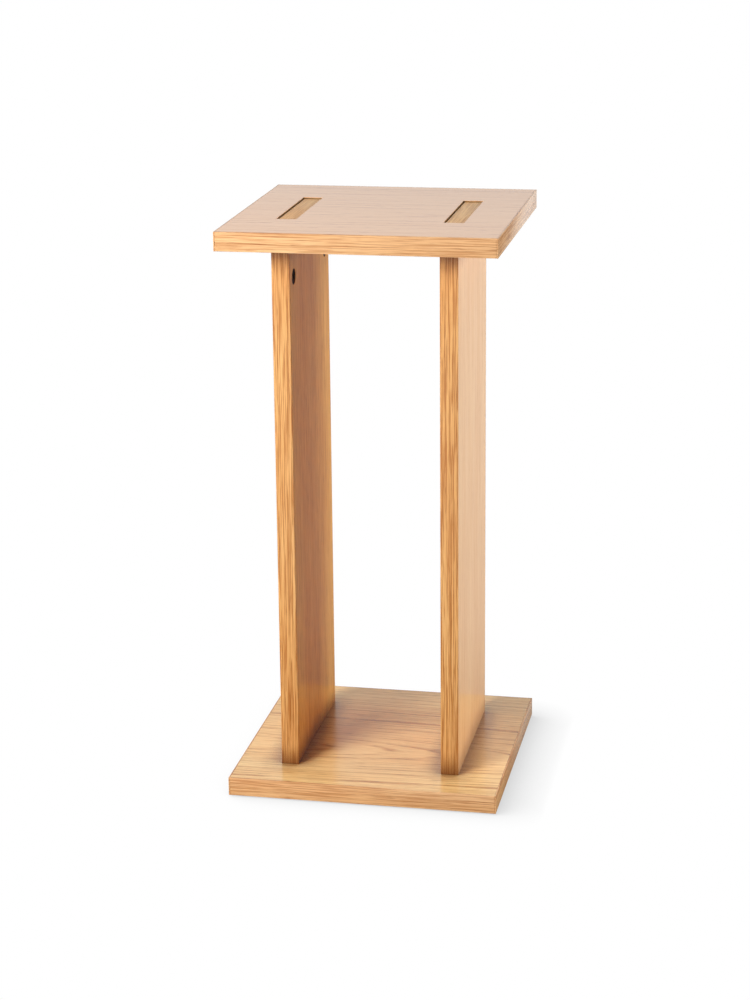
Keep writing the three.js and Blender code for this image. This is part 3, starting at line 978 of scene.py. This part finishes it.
class STAND_OT_dowels(bpy.types.Operator):
    """Turns the dowels, with chamfered ends and glue flutes"""

    bl_idname = "stand.dowels"
    bl_label = "Dowels"

    def execute(self, context):
        sizes, colours = context.scene.stand_sizes, context.scene.stand_colours
        # Raw beech, turned: pinkish brown, matt, flecked with short rays along the grain.
        shades = (colours.beech, colours.beech_fleck)
        beech = speckled("turned_beech", shades, 0.52, (0.5, 0.5, 3), 0.8, 0.75, bump=0.05)
        for node in four("{side}_{end}_dowel"):
            self.turn(node, beech, sizes)
        return {"FINISHED"}

    def turn(self, node, beech, sizes):
        """The profile is a straight side between two chamfers."""
        low, high, _ = place_of(node)
        bottom, top, radius = low[2], high[2], (high[0] - low[0]) / 2
        chamfer = sizes.dowel_chamfer
        rise = steps_between(bottom + chamfer, top - chamfer, 1 * MM)
        profile = np.array(
            [(radius - chamfer, bottom)] + [(radius, z) for z in rise] + [(radius - chamfer, top)]
        )

        def radius_at(radii, height, angle):
            """Presses the flutes in: a power of a cosine of the angle, deep only between the chamfers."""
            groove = (0.5 + 0.5 * np.cos(sizes.flutes * angle)) ** 3 * sizes.flute_depth
            return radii - groove * (radii > radius - chamfer / 2)

        turned_piece(node, profile, 2 * sizes.round_steps, beech, 40, radius_at)


class STAND_OT_pads(bpy.types.Operator):
    """Presses the felt pads under the base"""

    bl_idname = "stand.pads"
    bl_label = "Felt pads"

    def execute(self, context):
        sizes, colours = context.scene.stand_sizes, context.scene.stand_colours
        # Pressed wool felt, punched: grey brown, without gloss, its edge soft and fibrous.
        shades = (colours.felt, colours.felt_fibre)
        felt = speckled("pressed_wool_felt", shades, 0.5, (0.8, 0.8, 0.4), 0.7, 1.0, bump=0.15)
        felt.node_tree.nodes["Principled BSDF"].inputs["Sheen Weight"].default_value = 0.3
        for end in ENDS:
            for side in SIDES:
                self.press(f"{end}_{side}_pad", felt, sizes)
        return {"FINISHED"}

    def press(self, node, felt, sizes):
        """The edge is a half superellipse: flat above and below, round in between."""
        low, high, middle = place_of(node)
        radius, thickness = (high[0] - low[0]) / 2, high[2] - low[2]
        turn = np.linspace(-pi / 2, pi / 2, 13)
        soft = 0.35 * thickness
        edge_out = radius - soft + soft * np.abs(np.cos(turn)) ** 0.7
        edge_up = middle[2] + thickness / 2 * np.sign(np.sin(turn)) * np.abs(np.sin(turn)) ** 0.8
        edge = np.stack([edge_out, edge_up], axis=-1)
        profile = np.concatenate([[(radius * 0.5, low[2])], edge, [(radius * 0.5, high[2])]])
        turned_piece(node, profile, sizes.round_steps, felt, 50)


class STAND_OT_studio(bpy.types.Operator):
    """Sets up the camera, the paper floor and the soft light"""

    bl_idname = "stand.studio"
    bl_label = "Studio"

    def execute(self, context):
        studio, colours = context.scene.stand_studio, context.scene.stand_colours
        self.camera(context, studio)
        self.floor(context, studio, colours)
        self.surroundings(context, studio)
        self.lamp(context, "key_light", studio.key_place, studio.key_size, studio.key)
        self.lamp(context, "top_light", studio.top_place, studio.top_size, studio.top)
        self.lamp(context, "right_light", studio.right_place, studio.right_size, studio.right)
        context.scene.view_settings.view_transform = "Standard"
        return {"FINISHED"}

    def camera(self, context, studio):
        """The camera that the photograph was taken with, as solved from the stand's straight edges."""
        data = bpy.data.cameras.new("camera")
        data.lens = studio.lens
        data.sensor_width = studio.sensor
        data.shift_x = studio.shift
        camera = bpy.data.objects.new("camera", data)
        camera.location = studio.camera_place
        camera.rotation_euler = studio.camera_turn
        context.scene.collection.objects.link(camera)
        context.scene.camera = camera

    def floor(self, context, studio, colours):
        """White paper, over-exposed for the camera but for the stand's soft shade on the side away from the
        light. Seen from below it isn't there."""
        half = studio.floor_side / 2
        corners = [(-half, -half, 0), (half, -half, 0), (half, half, 0), (-half, half, 0)]
        mesh = bpy.data.meshes.new("floor")
        mesh.from_pydata(corners, [], [(0, 1, 2, 3)])
        floor = bpy.data.objects.new("floor", mesh)
        context.scene.collection.objects.link(floor)
        material = bpy.data.materials.new("white_paper")
        material.use_nodes = True
        tree = material.node_tree
        tree.nodes.clear()
        seen = add(tree, "ShaderNodeLightPath").outputs["Is Camera Ray"]
        towards_light = add(tree, "ShaderNodeCombineXYZ", dict(enumerate(studio.shade_from))).outputs[0]
        open_to = add(
            tree, "ShaderNodeAmbientOcclusion",
            {"Distance": studio.shade_reach, "Normal": towards_light}, samples=12,
        ).outputs["AO"]
        bright = add(tree, "ShaderNodeMapRange", {0: open_to, 3: studio.shade, 4: 1.0}).outputs[0]
        exposed = add(tree, "ShaderNodeEmission", {"Strength": bright})
        paper = add(tree, "ShaderNodeBsdfDiffuse", {"Color": opaque(colours.paper)})
        both = add(tree, "ShaderNodeMixShader", {0: seen, 1: paper.outputs[0], 2: exposed.outputs[0]})
        clear = add(tree, "ShaderNodeBsdfTransparent")
        under = add(tree, "ShaderNodeNewGeometry").outputs["Backfacing"]
        result = add(tree, "ShaderNodeMixShader", {0: under, 1: both.outputs[0], 2: clear.outputs[0]})
        add(tree, "ShaderNodeOutputMaterial", {"Surface": result.outputs[0]})
        mesh.materials.append(material)
        floor.visible_glossy = False

    def surroundings(self, context, studio):
        """White for the camera, and a weak light from all round. The lacquer mirrors white paper, which dims
        and ends towards the floor, and a dark studio right of it."""
        world = bpy.data.worlds.new("studio")
        context.scene.world = world
        world.use_nodes = True
        tree = world.node_tree
        tree.nodes.clear()
        path = add(tree, "ShaderNodeLightPath").outputs
        bearing = add(tree, "ShaderNodeTexCoord").outputs["Generated"]
        turn = studio.camera_turn[2]
        rightward = add(
            tree, "ShaderNodeVectorMath", {0: bearing, 1: (cos(turn), sin(turn), 0)},
            operation="DOT_PRODUCT",
        ).outputs["Value"]
        upward = add(tree, "ShaderNodeSeparateXYZ", {0: bearing}).outputs["Z"]
        # The paper dims downwards, ends above the floor, and ends right of the view.
        fades = (
            (upward, studio.paper_dims, studio.low_paper, 1.0),
            (upward, studio.paper_foot, 0.0, 1.0),
            (rightward, studio.paper_edge, 1.0, studio.dark_side),
        )
        mirrored = 1.0
        for value, ends, before, after in fades:
            bounds = {0: value, 1: sin(ends[0]), 2: sin(ends[1]), 3: before, 4: after}
            fade = add(tree, "ShaderNodeMapRange", bounds).outputs[0]
            mirrored = add(tree, "ShaderNodeMath", {0: mirrored, 1: fade}, operation="MULTIPLY").outputs[0]
        shiny = add(
            tree, "ShaderNodeMath", {0: path["Is Glossy Ray"], 1: path["Is Transmission Ray"]},
            operation="MAXIMUM",
        ).outputs[0]
        unseen = add(
            tree, "ShaderNodeMix", {0: shiny, 2: studio.ambient, 3: mirrored}, data_type="FLOAT"
        ).outputs[0]
        bright = add(
            tree, "ShaderNodeMix", {0: path["Is Camera Ray"], 2: unseen, 3: 1.0}, data_type="FLOAT"
        ).outputs[0]
        light = add(tree, "ShaderNodeBackground", {"Strength": bright, "Color": (1, 1, 1, 1)})
        add(tree, "ShaderNodeOutputWorld", {"Surface": light.outputs[0]})

    def lamp(self, context, name, place, size, watts):
        """A square soft box that looks at the middle of the stand."""
        low, high = cad_box
        data = bpy.data.lights.new(name, "AREA")
        data.energy = watts
        data.shape = "SQUARE"
        data.size = size
        light = bpy.data.objects.new(name, data)
        light.location = place
        light.rotation_euler = ((low + high) / 2 - Vector(place)).to_track_quat("-Z", "Y").to_euler()
        light.visible_glossy = False
        context.scene.collection.objects.link(light)


class STAND_PT_sidebar(bpy.types.Panel):
    """Lists the sizes, the colours and the pieces"""

    bl_label = "Speaker stand"
    bl_space_type = "VIEW_3D"
    bl_region_type = "UI"
    bl_category = "Stand"

    def draw(self, context):
        for group in (context.scene.stand_sizes, context.scene.stand_colours, context.scene.stand_studio):
            box = self.layout.box()
            for name in group.__annotations__:
                box.prop(group, name)
        for operator in OPERATORS:
            self.layout.operator(operator.bl_idname)


OPERATORS = (
    STAND_OT_plate_veneers,
    STAND_OT_leg_veneers,
    STAND_OT_edge_bands,
    STAND_OT_board_cores,
    STAND_OT_cam_locks,
    STAND_OT_base_screws,
    STAND_OT_cam_bolts,
    STAND_OT_dowels,
    STAND_OT_pads,
    STAND_OT_studio,
)
GROUPS = {"stand_sizes": StandSizes, "stand_colours": StandColours, "stand_studio": StandStudio}


def register():
    for item in (*GROUPS.values(), *OPERATORS, STAND_PT_sidebar):
        bpy.utils.register_class(item)
    for name, group in GROUPS.items():
        setattr(bpy.types.Scene, name, PointerProperty(type=group))


def unregister():
    for name in GROUPS:
        delattr(bpy.types.Scene, name)
    for item in (STAND_PT_sidebar, *reversed(OPERATORS), *GROUPS.values()):
        bpy.utils.unregister_class(item)


def main():
    register()
    for operator in OPERATORS:
        group, name = operator.bl_idname.split(".")
        getattr(getattr(bpy.ops, group), name)()


if __name__ == "__main__":
    main()
